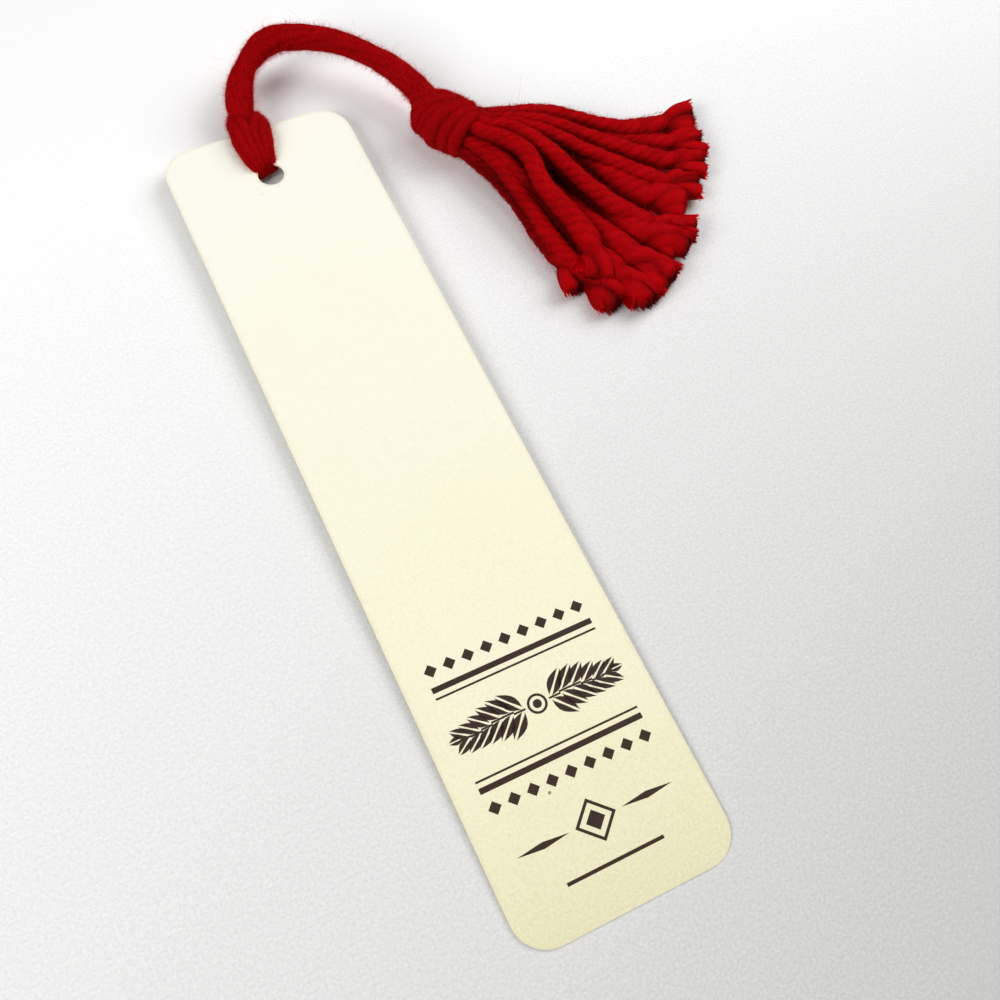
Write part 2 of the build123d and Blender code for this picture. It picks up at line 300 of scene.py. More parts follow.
class Shader:
    """One material, its nodes added by what they do."""

    def __init__(self, name):
        self.material = bpy.data.materials.new(name)
        self.material.use_nodes = True
        self.tree = self.material.node_tree
        self.tree.nodes.clear()

    def node(self, kind, settings=None, sockets=None, out=0):
        made = self.tree.nodes.new(kind)
        for key, value in (settings or {}).items():
            setattr(made, key, value)
        for key, value in (sockets or {}).items():
            if isinstance(value, Value):
                self.tree.links.new(value.socket, made.inputs[key])
            else:
                made.inputs[key].default_value = value
        return Value(self, made.outputs[out])

    def place(self):
        """Object coordinates, in millimetres."""
        spot = self.node("ShaderNodeTexCoord", out="Object")
        return self.node("ShaderNodeVectorMath", {"operation": "SCALE"}, {0: spot, "Scale": 1 / MM})

    def plan(self, spot):
        """A spot's x and y."""
        return [self.node("ShaderNodeSeparateXYZ", sockets={0: spot}, out=k) for k in (0, 1)]

    def noise(self, vector, scale, detail=3.0, rough=0.55):
        sockets = {"Vector": vector, "Scale": scale, "Detail": detail, "Roughness": rough}
        return self.node("ShaderNodeTexNoise", sockets=sockets)

    def mix(self, share, first, second):
        """A colour between two, each a colour or a socket."""
        first, second = (x if isinstance(x, Value) else (*x[:3], 1.0) for x in (first, second))
        return self.node("ShaderNodeMix", {"data_type": "RGBA"}, {0: share, 6: first, 7: second}, out=2)

    def bump(self, height, strength, distance):
        sockets = {"Height": height, "Strength": strength, "Distance": distance}
        return self.node("ShaderNodeBump", sockets=sockets, out="Normal")

    def surface(self, sockets):
        shaded = self.node("ShaderNodeBsdfPrincipled", sockets=sockets)
        self.node_output(shaded)
        return self.material

    def node_output(self, shaded):
        made = self.tree.nodes.new("ShaderNodeOutputMaterial")
        self.tree.links.new(shaded.socket, made.inputs["Surface"])


def paper_material(card):
    """Cream card, darker and yellower towards its foot in painted shade of the light falling off, toned along
    its edges, with a fine grain and a few specks.
    """
    shader = Shader("cream_card")
    spot = shader.place()
    x, y = shader.plan(spot)
    length, half_width = CARD_LENGTH / MM, CARD_WIDTH / MM / 2
    corner = CARD_CORNER / MM
    foot = 0.5 - y / length
    cloud = shader.noise(spot, scale=0.035, detail=4.0)
    # Painted shade: the paper darkens and yellows towards its foot, with random tone from the cloud
    colour = shader.mix((foot + (cloud - 0.5) * 0.5).share(), card.paper, card.toned_and_shaded_paper)
    blotch = (shader.noise(spot, scale=0.22, detail=5.0, rough=0.6) - 0.5) * 0.22
    colour = shader.mix(blotch.share(), colour, card.toned_and_shaded_paper)
    # More painted shade at the card's very foot
    low = (foot.above(0.0) * foot).below(1.0)
    colour = shader.mix(low * low * low, colour, card.shaded_foot_paper)
    # How far inside the outline and outside the hole a point lies
    past_x = (abs(x) - (half_width - corner)).above(0.0)
    past_y = (abs(y) - (length / 2 - corner)).above(0.0)
    round_off = (past_x * past_x + past_y * past_y).root()
    straight = (half_width - abs(x)).below(length / 2 - abs(y))
    inside = straight.below(corner - round_off)
    past_hole = y - (0.5 - HOLE_FROM_TOP / CARD_LENGTH) * length
    from_hole = (x * x + past_hole * past_hole).root()
    inside = inside.below(from_hole - HOLE_RADIUS / MM)
    edge_width = 0.25 + shader.noise(spot, scale=0.5) * 0.9
    edge = (1.0 - inside / edge_width).share()
    colour = shader.mix(edge * 0.5, colour, card.edge_tone)
    # Specks: near the middle of a few of the cells
    sockets = {"Vector": spot, "Scale": 0.085, "Randomness": 1.0}
    near = shader.node("ShaderNodeTexVoronoi", sockets=sockets, out="Distance")
    cell = shader.node("ShaderNodeTexVoronoi", sockets=sockets, out="Color")
    pick = shader.node("ShaderNodeSeparateColor", sockets={0: cell}, out=0)
    speck_size = 0.016 + pick * 0.02
    speck = (speck_size - near).ramp(start=0.0, width=0.008) * pick.ramp(start=0.45, width=0.05)
    colour = shader.mix(speck * 0.85, colour, card.fleck)
    # Grain: darker where it stands high, bare paper where it lies low
    fine = shader.noise(spot, scale=2.2, detail=4.0, rough=0.7)
    fibre_spot = shader.node(
        "ShaderNodeMapping", sockets={"Vector": spot, "Rotation": (0.0, 0.0, 0.5), "Scale": (0.9, 4.5, 1.0)}
    )
    fibres = shader.noise(fibre_spot, scale=1.6, rough=0.6)
    mottle = (fine - 0.5) * (0.6 + foot)
    colour = shader.mix((mottle * 0.4).share(), colour, card.fleck)
    colour = shader.mix((0.0 - mottle).share(), colour, card.paper)
    bump = shader.bump(fine * 0.6 + fibres * 0.4, strength=0.22, distance=0.03 * MM)
    return shader.surface({
        "Base Color": colour, "Roughness": 0.68 + fine * 0.18, "Normal": bump, "Specular IOR Level": 0.3,
    })


def ink_material(card):
    """Flat dark ink that the paper's grain breaks up a little."""
    shader = Shader("brown_ink")
    spot = shader.place()
    worn_ink = (0.15, 0.10, 0.065)
    press = shader.noise(spot, scale=0.4)
    grain = shader.noise(spot, scale=5.0, detail=4.0, rough=0.7)
    thin = ((grain - 0.52) * 1.1 + (press - 0.5) * 0.5).share()
    colour = shader.mix(thin * 0.5, card.ink, worn_ink)
    return shader.surface({"Base Color": colour, "Roughness": 0.5 + grain * 0.25, "Specular IOR Level": 0.3})


def yarn_material(yarn):
    """Dyed red wool with fibre streaks, and painted shade between its plies and where other strands lie over
    it.
    """
    shader = Shader("red_wool")
    spot = shader.place()
    relief = shader.node("ShaderNodeAttribute", {"attribute_name": "relief"}, out="Fac")
    cloud = shader.noise(spot, scale=0.5)
    tuft = shader.noise(spot, scale=2.6, detail=4.0, rough=0.65)
    # Painted shade: darker where a point lies low between the plies, with random tone from the noise
    level = (relief.below(1.0) * 0.95 + (cloud - 0.5) * 0.35 + (tuft - 0.5) * 0.5).share()
    colour = shader.mix(level, yarn.shade_and_streak_red, yarn.bright)
    turned = shader.node("ShaderNodeUVMap", {"uv_map": "UVMap"})
    streak_spot = shader.node("ShaderNodeMapping", sockets={"Vector": turned, "Scale": (9.0, 34.0, 1.0)})
    streak = shader.noise(streak_spot, scale=1.0, rough=0.6)
    colour = shader.mix(streak.ramp(start=0.55, width=0.625) * 0.45, colour, yarn.shade_and_streak_red)
    # Painted shade where other strands lie over a point and where the cord's start lies in the hitch
    cover = shader.node("ShaderNodeAttribute", {"attribute_name": "cover"}, out="Fac")
    colour = shader.mix((cover * 0.9).share(), colour, yarn.shade_and_streak_red)
    bump = shader.bump(streak * 0.6 + tuft * 0.4, strength=0.5, distance=0.12 * MM)
    solid = shader.node("ShaderNodeBsdfPrincipled", sockets={
        "Base Color": colour, "Roughness": 0.88, "Normal": bump, "Specular IOR Level": 0.04,
    })
    # Fibres, whose relief is past that of any ply, let light through
    glow = shader.node("ShaderNodeBsdfTranslucent", sockets={"Color": (*yarn.fluff, 1.0)})
    thin = relief.ramp(start=1.1, width=0.3) * 0.9
    shader.node_output(shader.node("ShaderNodeMixShader", sockets={0: thin, 1: solid, 2: glow}))
    return shader.material


# Places
def card_matrix():
    """From the card's own frame, x across and y up from its foot on its underside, to the part's."""
    turn = Matrix.Rotation(CARD_TILT, 4, "X")
    return Matrix.Translation((0.0, -CARD_LENGTH / 2 * math.cos(CARD_TILT), 0.0)) @ turn


def hitch_matrix():
    """From the middle of the hole, half way through the card, to the part's frame."""
    return card_matrix() @ Matrix.Translation((0.0, CARD_LENGTH - HOLE_FROM_TOP, CARD_THICKNESS / 2))


def knot_matrix():
    """From the knot's frame, x across, y up and z along it, to the part's."""
    angle = math.radians(KNOT_BEARING)
    along = Vector((math.cos(angle), math.sin(angle), 0.0))
    up = Vector((0.0, 0.0, 1.0))
    turn = Matrix((up.cross(along), up, along)).transposed().to_4x4()
    return Matrix.Translation(Vector(KNOT_ORIGIN) * MM) @ turn @ Matrix.Translation((KNOT_SIDE, 0.0, 0.0))


def rise(value, low, high):
    """From 0 at the low value, smoothly, to 1 at the high one."""
    share = min(1.0, max(0.0, (value - low) / (high - low)))
    return share * share * (3 - 2 * share)


def in_stages(share, start, stages):
    """From a start, with what each stage adds between its low and its high share."""
    for gain, low, high in stages:
        start += gain * rise(share, low, high)
    return start


# Yarn building
def smooth_points(route, detail):
    """Points along a NURBS line that has the route's points as its control points."""
    curve = bpy.data.curves.new("route", "CURVE")
    curve.dimensions = "3D"
    spline = curve.splines.new("NURBS")
    spline.points.add(len(route) - 1)
    for control, place in zip(spline.points, route):
        control.co = (*place, 1.0)
    spline.order_u = 3
    spline.use_endpoint_u = True
    spline.resolution_u = detail
    mesh = bpy.data.meshes.new_from_object(bpy.data.objects.new("route", curve))
    points = [vertex.co.copy() for vertex in mesh.vertices]
    bpy.data.meshes.remove(mesh)
    bpy.data.curves.remove(curve)
    return points


class Line:
    """A line of points with, at each, the distance along it and a frame across it."""

    def __init__(self, points):
        self.points = points
        self.along = [0.0]
        for before, after in zip(points, points[1:]):
            self.along.append(self.along[-1] + (after - before).length)
        self.length = self.along[-1]
        self.tangents, self.sides, self.ups = [], [], []
        for before, after in zip(points[:1] + points[:-1], points[1:] + points[-1:]):
            self.tangents.append((after - before).normalized())
        side = Vector((0.0, 0.0, 1.0)).cross(self.tangents[0])
        if side.length < 0.1:
            side = Vector((1.0, 0.0, 0.0))
        for tangent in self.tangents:
            side = (side - tangent * side.dot(tangent)).normalized()
            self.sides.append(side)
            self.ups.append(tangent.cross(side))

    def across(self, place, angle):
        return self.sides[place] * math.cos(angle) + self.ups[place] * math.sin(angle)

    def share(self, place):
        return self.along[place] / self.length

    def beside(self, place_at):
        """A line that keeps beside this one, as place_at gives distance and angle along it."""
        points = []
        for place, point in enumerate(self.points):
            distance, angle = place_at(self.along[place])
            points.append(point + self.across(place, angle) * distance)
        return Line(points)


def line_through(route, detail, place=Matrix()):
    """The smooth line of a route in millimetres, in the part's frame or from a place's own."""
    return Line(smooth_points([place @ (Vector(point) * MM) for point in route], detail))


class Yarn:
    """The tubes of a piece: plies, fibres and where their middles lie."""

    # Plies: how far off their yarn's middle, how thick, and how they swell along it
    PLY_OFFSET, PLY_RADIUS, PLY_FILL = 0.575, 0.47, 0.5
    SWELL, SWELL_LENGTH = 0.06, 2.7 * MM
    # A cut end: where and how its plies part, and how each rounds off
    PARTING, PARTING_POWER, SLOT_DRIFT, LIFT = 0.78, 1.5, 0.06, (-0.25, 0.35)
    BLUNT, BLUNT_LEAST, CUT_FIBRE = 0.75 * MM, 0.6, 0.09 * MM
    # Fibres: radii of fuzz and down, how fuzz leans and curls, and how strays are made
    FIBRE, DOWN = 0.018 * MM, 0.032 * MM
    LEAN_ALONG, LEAN_ASIDE, CURL = 1.1, 0.7, 0.9
    STRAY_STEPS, STRAY_RADIUS = 9, 0.9 * FIBRE
    # How near to the table the fibres come
    CUT_LOW, FUZZ_LOW, STRAY_LOW = 0.1 * MM, 0.04 * MM, 0.05 * MM
    # Depth in a pile at which its painted shade is darkest, and the most relief of tight plies, which keeps
    # some painted shade on their crowns
    PILE, TIGHT = 2.4 * MM, 0.72

    def __init__(self, name, settings, seed):
        self.name, self.settings = name, settings
        self.chance = random.Random(seed)
        self.plies, self.fibres, self.middles = [], [], []
        self.pile_at, self.pile, self.crest = None, self.PILE, 1.0

    def lay_up(self, line, radius_at, relief, opening=0.0, plies=None):
        """Adds one yarn along a line. Its plies part and lie flat by opening towards its end."""
        chance, count = self.chance, plies or self.settings.plies
        phase = chance.uniform(0.0, TURN)
        last = len(line.points) - 1
        laid = []

        def turned(ply, along):
            return phase + TURN * (ply / count - along / self.settings.lay)

        # The plies fan out in the order in which they lie where they begin to part
        order = sorted(range(count), key=lambda ply: math.cos(turned(ply, self.PARTING * line.length)))
        for ply in range(count):
            wave = chance.uniform(0.0, TURN)
            drift = chance.uniform(-self.SLOT_DRIFT, self.SLOT_DRIFT)
            slot = 2 * order.index(ply) / (count - 1) - 1 + drift
            lift = chance.uniform(*self.LIFT)
            end = last - (chance.randint(0, 2) if opening and ply else 0)
            spline = []
            for place in range(end + 1):
                share, along = line.share(place), line.along[place]
                radius = radius_at(share)
                parted = max(0.0, (share - self.PARTING) / (1 - self.PARTING))
                part = parted ** self.PARTING_POWER if opening else 0.0
                offset = self.PLY_OFFSET * radius * relief
                swell = 1.0 + self.SWELL * math.sin(along / self.SWELL_LENGTH + wave)
                thick = radius * (self.PLY_RADIUS + (1.0 - relief) * self.PLY_FILL * (1 - part)) * swell
                away = line.across(place, turned(ply, along)) * offset * (1 - part)
                away += (line.sides[place] * slot * opening + line.ups[place] * lift) * part * radius
                if opening:
                    left = min(1.0, (line.along[end] - along) / self.BLUNT)
                    blunt = self.BLUNT_LEAST + (1 - self.BLUNT_LEAST) * math.sqrt(left * (2 - left))
                    thick *= (1 + 0.5 * part) * blunt
                spline.append((line.points[place] + away, thick))
            laid.append(spline)
        self.plies += laid
        self.note_middles(line, radius_at)
        return laid

    def note_middles(self, line, radius_at):
        self.middles += [(point, radius_at(line.share(k))) for k, point in enumerate(line.points)]

    def brush(self, line, laid, count, reach):
        """Adds the fibres of a cut end, from inside each ply to just past it."""
        chance = self.chance
        for spline in laid:
            for _ in range(count):
                start = max(0, len(spline) - chance.randint(7, 13))
                picks = [spline[start], spline[(start + len(spline)) // 2], spline[-1]]
                angle, spread = chance.uniform(0.0, TURN), chance.random() ** 0.5
                points, wide = [], picks[1][1]
                for step, (middle, _) in enumerate(picks):
                    away = line.across(-1, angle) * wide * spread * (0.8 + 0.06 * step)
                    points.append((middle + away, self.CUT_FIBRE))
                tip = points[-1][0] + line.tangents[-1] * chance.uniform(0.1, 1.0) * reach
                tip += line.across(-1, angle) * chance.uniform(0.0, 0.45 * reach)
                points.append((Vector((tip.x, tip.y, max(tip.z, self.CUT_LOW))), 0.0))
                self.fibres.append(points)

    def fuzz(self, line, radius_at, coats):
        """Adds fibres that stand off a yarn or a bundle, each in a few bent steps.

        A coat is how many fibres there are per millimetre, the longest's length and their steps.
        """
        chance = self.chance
        for per_mm, longest, steps in coats:
            root = self.DOWN if steps == 1 else self.FIBRE
            for _ in range(int(line.length / MM * per_mm)):
                place = chance.randrange(1, len(line.points) - 1)
                angle = chance.uniform(0.0, TURN)
                out = line.across(place, angle)
                heading = out + line.tangents[place] * chance.uniform(-self.LEAN_ALONG, self.LEAN_ALONG)
                aside = line.across(place, angle + TURN / 4)
                heading += aside * chance.uniform(-self.LEAN_ASIDE, self.LEAN_ASIDE)
                curl = Vector([chance.uniform(-1.0, 1.0) for _ in range(3)])
                length = longest * (0.25 + 0.75 * chance.random() ** 2.2)
                spot = line.points[place] + out * radius_at(line.share(place)) * 0.97
                points = [(spot, root)]
                for step in range(steps):
                    heading = heading.normalized() + curl * (self.CURL / steps)
                    spot = spot + heading.normalized() * length / steps
                    spot.z = max(spot.z, self.FUZZ_LOW)
                    points.append((spot, root * (1 - (step + 1) / steps) ** 0.5))
                self.fibres.append(points)

    def stray(self, line, radius_at, count, longest):
        """Adds long single fibres that curl away from a yarn."""
        chance, steps = self.chance, self.STRAY_STEPS
        for _ in range(count):
            place = chance.randrange(1, len(line.points) - 1)
            out = line.across(place, chance.uniform(0.05, 0.45) * TURN)
            heading = (out + line.tangents[place] * chance.uniform(-1.0, 1.0)).normalized()
            axis = Vector([chance.uniform(-1.0, 1.0) for _ in range(3)]).normalized()
            curl = Matrix.Rotation(chance.uniform(0.15, 0.5), 3, axis)
            spot = line.points[place] + out * radius_at(line.share(place)) * 0.8
            stride = longest * chance.uniform(0.4, 1.0) / steps
            points = [(spot, self.STRAY_RADIUS)]
            for step in range(steps):
                heading = curl @ heading
                spot = spot + heading * stride
                spot.z = max(spot.z, self.STRAY_LOW)
                points.append((spot, self.STRAY_RADIUS * (1 - (step + 1) / steps) ** 0.3))
            self.fibres.append(points)
        self.note_middles(line, radius_at)

    def build(self, material, body):
        """Makes the piece's object and sets it on its body."""
        shape = bmesh.new()
        for splines, detail in ((self.plies, 2), (self.fibres, 0)):
            first_fibre = len(shape.verts)
            if splines:
                mesh = tube_mesh(splines, detail)
                shape.from_mesh(mesh)
                bpy.data.meshes.remove(mesh)
                bmesh.ops.remove_doubles(shape, verts=shape.verts, dist=1e-7)
        mesh = finished_mesh(self.name, shape, smooth=True)
        self.mark_relief(mesh, first_fibre)
        return add_piece(self.name, mesh, material, body)

    def mark_relief(self, mesh, first_fibre):
        """Stores how far each point stands off the middle of its yarn, which paints shade between the plies,
        and how far inside a pile it lies, which paints the shade of what lies over it.
        """
        tree = KDTree(len(self.middles))
        for number, (point, _) in enumerate(self.middles):
            tree.insert(point, number)
        tree.balance()
        piles = [self.pile_at(point) if self.pile_at else (0.0, 0.0) for point, _ in self.middles]
        reliefs, pile_shades = [], []
        for vertex in mesh.vertices:
            _, number, distance = tree.find(vertex.co)
            most = self.crest if vertex.index < first_fibre else 2.0
            reliefs.append(min(most, max(0.0, (distance / self.middles[number][1] - 0.5) / 0.5)))
            low, high = piles[number]
            depth = min(high - vertex.co.z, vertex.co.z - low)
            pile_shades.append(min(1.0, max(0.0, depth / self.pile)))
        for name, values in (("relief", reliefs), ("cover", pile_shades)):
            mesh.attributes.new(name, "FLOAT", "POINT").data.foreach_set("value", values)


def tube_mesh(splines, detail):
    """Tubes along lists of points and radii, as one mesh."""
    curve = bpy.data.curves.new("tubes", "CURVE")
    curve.dimensions = "3D"
    curve.bevel_mode = "ROUND"
    curve.bevel_depth = 1.0
    curve.bevel_resolution = detail
    curve.use_fill_caps = detail > 0
    for points in splines:
        spline = curve.splines.new("POLY")
        spline.points.add(len(points) - 1)
        spline.points.foreach_set("co", [x for point, _ in points for x in (*point, 1.0)])
        spline.points.foreach_set("radius", [thick for _, thick in points])
    mesh = bpy.data.meshes.new_from_object(bpy.data.objects.new("tubes", curve))
    bpy.data.curves.remove(curve)
    return mesh


def finished_mesh(name, shape, smooth=False):
    """A mesh of a built shape, which is freed."""
    for face in shape.faces:
        face.smooth = smooth
    mesh = bpy.data.meshes.new(name)
    shape.to_mesh(mesh)
    shape.free()
    return mesh


def add_piece(name, mesh, material, body):
    """An object for a finished mesh, riding on its CAD body."""
    piece = bpy.data.objects.new(name, mesh)
    bpy.context.scene.collection.objects.link(piece)
    mesh.materials.clear()
    mesh.materials.append(material)
    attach(piece, body)
    return piece


def yarn_finish():
    """The yarn's material, made once."""
    return bpy.data.materials.get("red_wool") or yarn_material(bpy.context.scene.bookmark_yarn)


# The pieces
class BOOKMARK_OT_card(bpy.types.Operator):
    """Give the card its paper"""

    bl_idname = "bookmark.card"
    bl_label = "Card"

    def execute(self, context):
        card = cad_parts["card"]
        card.data.materials.clear()
        card.data.materials.append(paper_material(context.scene.bookmark_card))
        return {"FINISHED"}


class BOOKMARK_OT_ornament(bpy.types.Operator):
    """Print a plain ornament of leaves, diamonds and rules on the card"""

    bl_idname = "bookmark.ornament"
    bl_label = "Ornament"

    # In millimetres, heights from the card's foot
    HALF_WIDTH = 14.6
    BRANCH, LOZENGE = 34.5, 14.2
    RULES = [(43.4, 1.0), (41.9, 0.36), (27.2, 0.36), (25.7, 1.0)]
    DIAMOND_ROWS = [(46.6, 9, 1.15), (22.5, 9, 1.15)]

    def spread(self, x, y, half_width, half_height):
        return Matrix.Translation((x, y, 0.0)) @ Matrix.Diagonal((half_width, half_height, 1.0, 1.0))

    def round(self, shape, place, radius=1.0, points=4):
        """A disc or, with four points, a diamond."""
        made = bmesh.ops.create_circle(shape, cap_ends=True, segments=points, radius=radius, matrix=place)
        return made["verts"]

    def bar(self, shape, *sizes):
        bmesh.ops.create_grid(shape, x_segments=1, y_segments=1, size=1.0, matrix=self.spread(*sizes))

    def hollow(self, shape, verts, rim):
        """Leaves only a flat shape's rim."""
        faces = list({face for vert in verts for face in vert.link_faces})
        bmesh.ops.inset_region(shape, faces=faces, thickness=rim, use_boundary=True, use_even_offset=True)
        bmesh.ops.delete(shape, geom=faces, context="FACES_ONLY")

    def leaf(self, shape, x, y, angle, length, width):
        """A pointed leaf with a bare midrib, drawn as its two halves."""
        for side in (1.0, -1.0):
            leaf = self.round(shape, Matrix(), points=20)
            for vert in leaf:
                reach = vert.co.x
                belly = max(0.0, 1.0 - reach * reach) ** 0.9 * (1.0 - 0.25 * reach)
                height = 0.5 + 0.5 * vert.co.y
                vert.co.y = side * (0.07 + 0.5 * height * belly)
                vert.co.x = 0.5 + 0.5 * reach
            place = Matrix.Translation((x, y, 0.0)) @ Matrix.Rotation(angle, 4, "Z")
            place = place @ Matrix.Diagonal((length, width, 1.0, 1.0))
            bmesh.ops.transform(shape, matrix=place, verts=leaf)

    def branch(self, shape, y):
        """Two leafy sprays that run out from a berry in the middle."""
        for side in (1.0, -1.0):
            for number in range(6):
                x = side * (2.6 + 1.95 * number)
                lift = 0.35 * math.sin(number * 1.1)
                length, width = 4.9 - 0.35 * number, 2.1 - 0.12 * number
                for turn in (1.0, -1.0):
                    lean = turn * math.radians(48.0 - 3.0 * number)
                    angle = lean if side > 0 else math.pi - lean
                    self.leaf(shape, x, y + lift + turn * 0.3, angle, length, width)
                self.bar(shape, x + side * 0.6, y + lift, 1.05, 0.17)
            angle = 0.0 if side > 0 else math.pi
            self.leaf(shape, side * 13.4, y, angle, length=2.4, width=1.2)
        middle = Matrix.Translation((0.0, y, 0.0))
        self.hollow(shape, self.round(shape, middle, radius=1.7, points=32), rim=0.42)
        self.round(shape, middle, radius=0.75, points=24)

    def execute(self, context):
        shape = bmesh.new()
        for y, height in self.RULES:
            self.bar(shape, 0.0, y, self.HALF_WIDTH, height / 2)
        for y, count, size in self.DIAMOND_ROWS:
            for number in range(count):
                x = (number - (count - 1) / 2) * 2 * (self.HALF_WIDTH - size) / (count - 1)
                self.round(shape, self.spread(x, y, size, size))
        self.branch(shape, self.BRANCH)
        # A lozenge between two tapered rules, and a short rule under it
        self.hollow(shape, self.round(shape, self.spread(0.0, self.LOZENGE, 3.6, 3.6)), rim=0.5)
        self.round(shape, self.spread(0.0, self.LOZENGE, 1.7, 1.7))
        for side in (1.0, -1.0):
            self.round(shape, self.spread(side * 9.2, self.LOZENGE, 4.6, 0.55))
        self.bar(shape, 0.0, 7.4, 8.5, 0.3)
        bmesh.ops.transform(shape, matrix=Matrix.Scale(MM, 4), verts=shape.verts)
        settings = context.scene.bookmark_card
        loose = [vert for vert in shape.verts if not vert.link_faces]
        bmesh.ops.delete(shape, geom=loose, context="VERTS")
        raised = bmesh.ops.extrude_face_region(shape, geom=shape.faces[:])["geom"]
        raised = [item for item in raised if isinstance(item, bmesh.types.BMVert)]
        bmesh.ops.translate(shape, verts=raised, vec=(0.0, 0.0, settings.ink_height))
        bmesh.ops.recalc_face_normals(shape, faces=shape.faces)
        place = card_matrix() @ Matrix.Translation((0.0, 0.0, CARD_THICKNESS - settings.ink_height / 4))
        bmesh.ops.transform(shape, matrix=place, verts=shape.verts)
        mesh = finished_mesh("printed_ornament", shape)
        add_piece("printed_ornament", mesh, ink_material(settings), "card")
        return {"FINISHED"}


class BOOKMARK_OT_hitch(bpy.types.Operator):
    """Lay the hitch's loops over the card and its tails behind it"""

    bl_idname = "bookmark.hitch"
    bl_label = "Hitch"

    # Distances from the hole, in millimetres, over which the loops bulge, draw in and skew
    BULGING, DRAWING_IN, SKEWING = (1.5, 4.0), (8.0, 14.0), (2.0, 6.0)
    LOOP_FUZZ = [(40.0, 1.0 * MM, 1), (26.0, 1.7 * MM, 2), (3.0, 2.2 * MM, 5)]
    TAIL_FUZZ = [(20.0, 0.8 * MM, 1)]

    def execute(self, context):
        settings = context.scene.bookmark_yarn
        yarn = Yarn("yarn_hitch", settings, seed=11)
        yarn.crest = yarn.TIGHT
        place = hitch_matrix()

        def loop_radius(share):
            """Squeezed at both ends, in the hole."""
            return LOOP_YARN * in_stages(min(share, 1 - share), 0.66, [(0.34, 0.03, 0.2)])

        def tail_radius(share):
            return TAIL_YARN

        skewed = self.SKEWING[1]
        for half in LOOP_ROUTES:
            route = half + [(-x, y, z) for x, y, z in reversed(half[:-1])]
            leaning = []
            for x, y, z in route:
                bulge = LOOP_BULGE * rise(y, *self.BULGING) * (1 - rise(y, *self.DRAWING_IN))
                skew = LOOP_SKEW * x * (max(0.0, y - skewed) / skewed - 1 + rise(y, *self.SKEWING))
                leaning.append((x + LOOP_SHIFT + LOOP_LEAN * y - bulge, y - skew, z))
            line = line_through(leaning, detail=7, place=place)
            yarn.lay_up(line, loop_radius, relief=0.15, plies=3)
            yarn.fuzz(line, loop_radius, self.LOOP_FUZZ)
        for across, above in TAIL_PLACES:
            route = [(x * across, y, z + above * min(1.0, x * x)) for x, y, z in TAIL_ROUTE]
            line = line_through(route, detail=8, place=place)
            yarn.lay_up(line, tail_radius, relief=0.6)
            yarn.fuzz(line, tail_radius, self.TAIL_FUZZ)
        piece = yarn.build(yarn_finish(), "hitch")
        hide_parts("hitch")
        return {"FINISHED"}


class BOOKMARK_OT_knot(bpy.types.Operator):
    """Wind the overhand knot"""

    bl_idname = "bookmark.knot"
    bl_label = "Knot"

    # A wrap's steps, how far round it goes each way, its ends' share of its radius, and its pitch
    STEPS, OVERLAP, TUCKED, PITCH = 16, 0.56, 0.5, 0.5
    FUZZ = [(60.0, 0.9 * MM, 1), (22.0, 1.7 * MM, 2), (2.0, 2.4 * MM, 5)]

    def execute(self, context):
        settings = context.scene.bookmark_yarn
        yarn = Yarn("yarn_knot", settings, seed=23)
        yarn.crest = yarn.TIGHT
        place = knot_matrix()
        routes = [(route, PASS_YARN) for route in KNOT_PASSES]
        for along, radius, lean, thick in KNOT_WRAPS:
            route = []
            for step in range(self.STEPS + 1):
                angle = TURN * self.OVERLAP * (2 * step / self.STEPS - 1)
                tuck = self.TUCKED if step in (0, self.STEPS) else 1.0
                across, up = radius * tuck * math.sin(angle), radius * tuck * math.cos(angle)
                route.append((across, up, along + lean * across + self.PITCH * angle / TURN))
            routes.append((route, thick))
        for route, thick in routes:

            def wrap_radius(share, thick=thick):
                return thick * MM

            line = line_through(route, detail=6, place=place)
            yarn.lay_up(line, wrap_radius, relief=0.45)
            yarn.fuzz(line, wrap_radius, self.FUZZ)
        piece = yarn.build(yarn_finish(), "knot")
        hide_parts("knot")
        core = bmesh.new()
        verts = [core.verts.new((radius * MM, 0.0, along * MM)) for along, radius in KNOT_CORE]
        edges = [core.edges.new(pair) for pair in zip(verts, verts[1:])]
        bmesh.ops.spin(
            core, geom=verts + edges, cent=(0, 0, 0), axis=(0, 0, 1), angle=TURN, steps=32, use_merge=True
        )
        bmesh.ops.remove_doubles(core, verts=core.verts, dist=1e-6)
        bmesh.ops.recalc_face_normals(core, faces=core.faces)
        bmesh.ops.transform(core, matrix=place, verts=core.verts)
        mesh = finished_mesh("yarn_knot_core", core, smooth=True)
        add_piece("yarn_knot_core", mesh, yarn_finish(), "knot")
        return {"FINISHED"}


